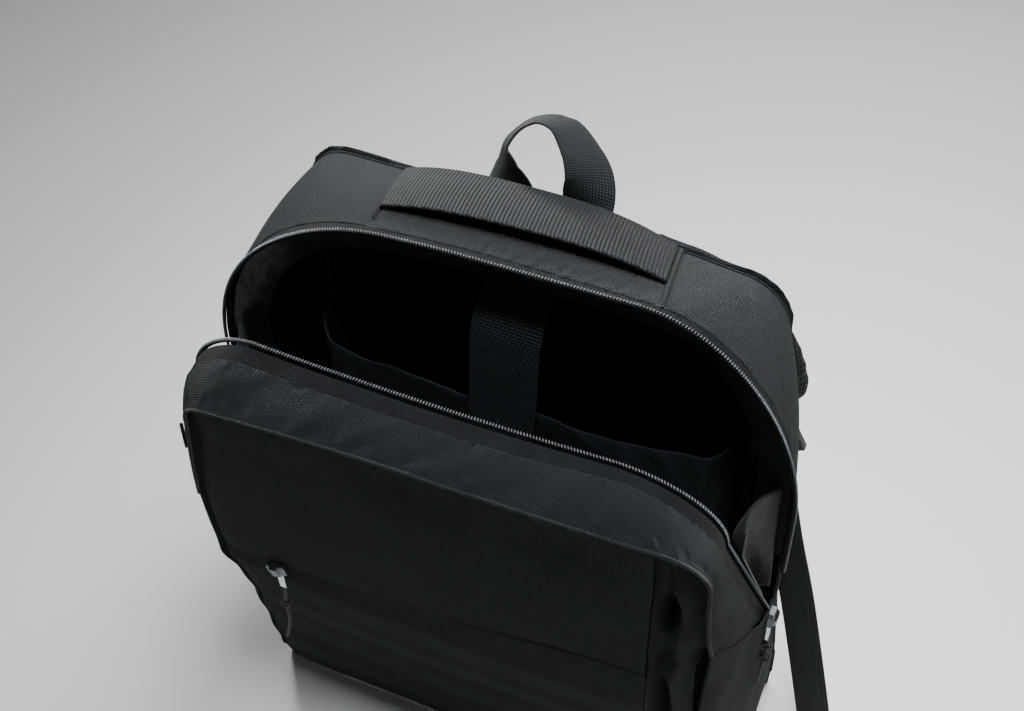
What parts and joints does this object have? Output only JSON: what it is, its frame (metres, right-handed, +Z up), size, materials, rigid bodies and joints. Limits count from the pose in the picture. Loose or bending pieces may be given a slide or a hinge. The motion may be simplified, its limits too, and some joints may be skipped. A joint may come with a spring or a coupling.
{
  "type": "laptop backpack",
  "caption": "Soft laptop backpack standing open at its main zip, with padded straps, a carry handle, a sleeve with a retention strap and a zipped front pocket.",
  "frame": {"origin": "middle of the base's underside, on the floor, under the sleeve's front", "axes": "+X to the right seen from the front, +Y towards the back panel that the wearer leans on, +Z up"},
  "size_m": [0.376, 0.1779, 0.3907],
  "materials": {
    "back_panel": "matt woven polyester over foam",
    "rear_gusset": "matt woven polyester",
    "rear_zip_tape": "ribbed zip tape",
    "rear_zip_coil": "satin zip teeth",
    "front_gusset": "matt woven polyester",
    "front_zip_tape": "ribbed zip tape",
    "front_zip_coil": "satin zip teeth",
    "front_panel_upper": "matt woven polyester",
    "front_panel_lower": "matt woven polyester",
    "pocket_zip_tape": "ribbed zip tape",
    "side_panel_right": "matt woven polyester",
    "side_panel_left": "matt woven polyester",
    "front_bellows_right": "matt woven polyester, pleated",
    "bottom_panel": "matt woven polyester over a board",
    "carry_handle": "ribbed webbing",
    "hang_loop": "ribbed webbing",
    "shoulder_strap_right": "ribbed cloth over foam",
    "ladder_lock_right": "moulded",
    "strap_tail_right": "plain webbing",
    "strap_webbing_right": "plain webbing",
    "shoulder_strap_left": "ribbed cloth over foam",
    "ladder_lock_left": "moulded",
    "strap_tail_left": "plain webbing",
    "strap_webbing_left": "plain webbing",
    "laptop_sleeve": "smooth lining cloth",
    "retention_strap": "ribbed webbing",
    "lining_strip": "smooth lining cloth",
    "side_fold_right": "smooth lining cloth",
    "side_fold_left": "smooth lining cloth",
    "side_tab_left": "folded webbing",
    "main_slider": "dark plated",
    "main_pull_tab": "plated",
    "main_pull_cord": "braided cord",
    "pocket_slider": "dark plated",
    "pocket_pull_tab": "plated",
    "pocket_pull_cord": "braided cord"
  },
  "bodies": {
    "root": {"back_panel": "back_panel", "rear_gusset": "rear_gusset", "rear_zip_tape": "rear_zip_tape", "rear_zip_coil": "rear_zip_coil", "front_gusset": "front_gusset", "front_zip_tape": "front_zip_tape", "front_zip_coil": "front_zip_coil", "front_panel_upper": "front_panel_upper", "front_panel_lower": "front_panel_lower", "pocket_zip_tape": "pocket_zip_tape", "side_panel_right": "side_panel_right", "side_panel_left": "side_panel_left", "front_bellows_right": "front_bellows_right", "bottom_panel": "bottom_panel", "carry_handle": "carry_handle", "hang_loop": "hang_loop", "shoulder_strap_right": "shoulder_strap_right", "ladder_lock_right": "ladder_lock_right", "strap_tail_right": "strap_tail_right", "strap_webbing_right": "strap_webbing_right", "shoulder_strap_left": "shoulder_strap_left", "ladder_lock_left": "ladder_lock_left", "strap_tail_left": "strap_tail_left", "strap_webbing_left": "strap_webbing_left", "laptop_sleeve": "laptop_sleeve", "retention_strap": "retention_strap", "lining_strip": "lining_strip", "side_fold_right": "side_fold_right", "side_fold_left": "side_fold_left", "side_tab_left": "side_tab_left", "main_slider": "main_slider", "main_pull_tab": "main_pull_tab", "main_pull_cord": "main_pull_cord", "pocket_slider": "pocket_slider", "pocket_pull_tab": "pocket_pull_tab", "pocket_pull_cord": "pocket_pull_cord"}
  },
  "joints": []
}
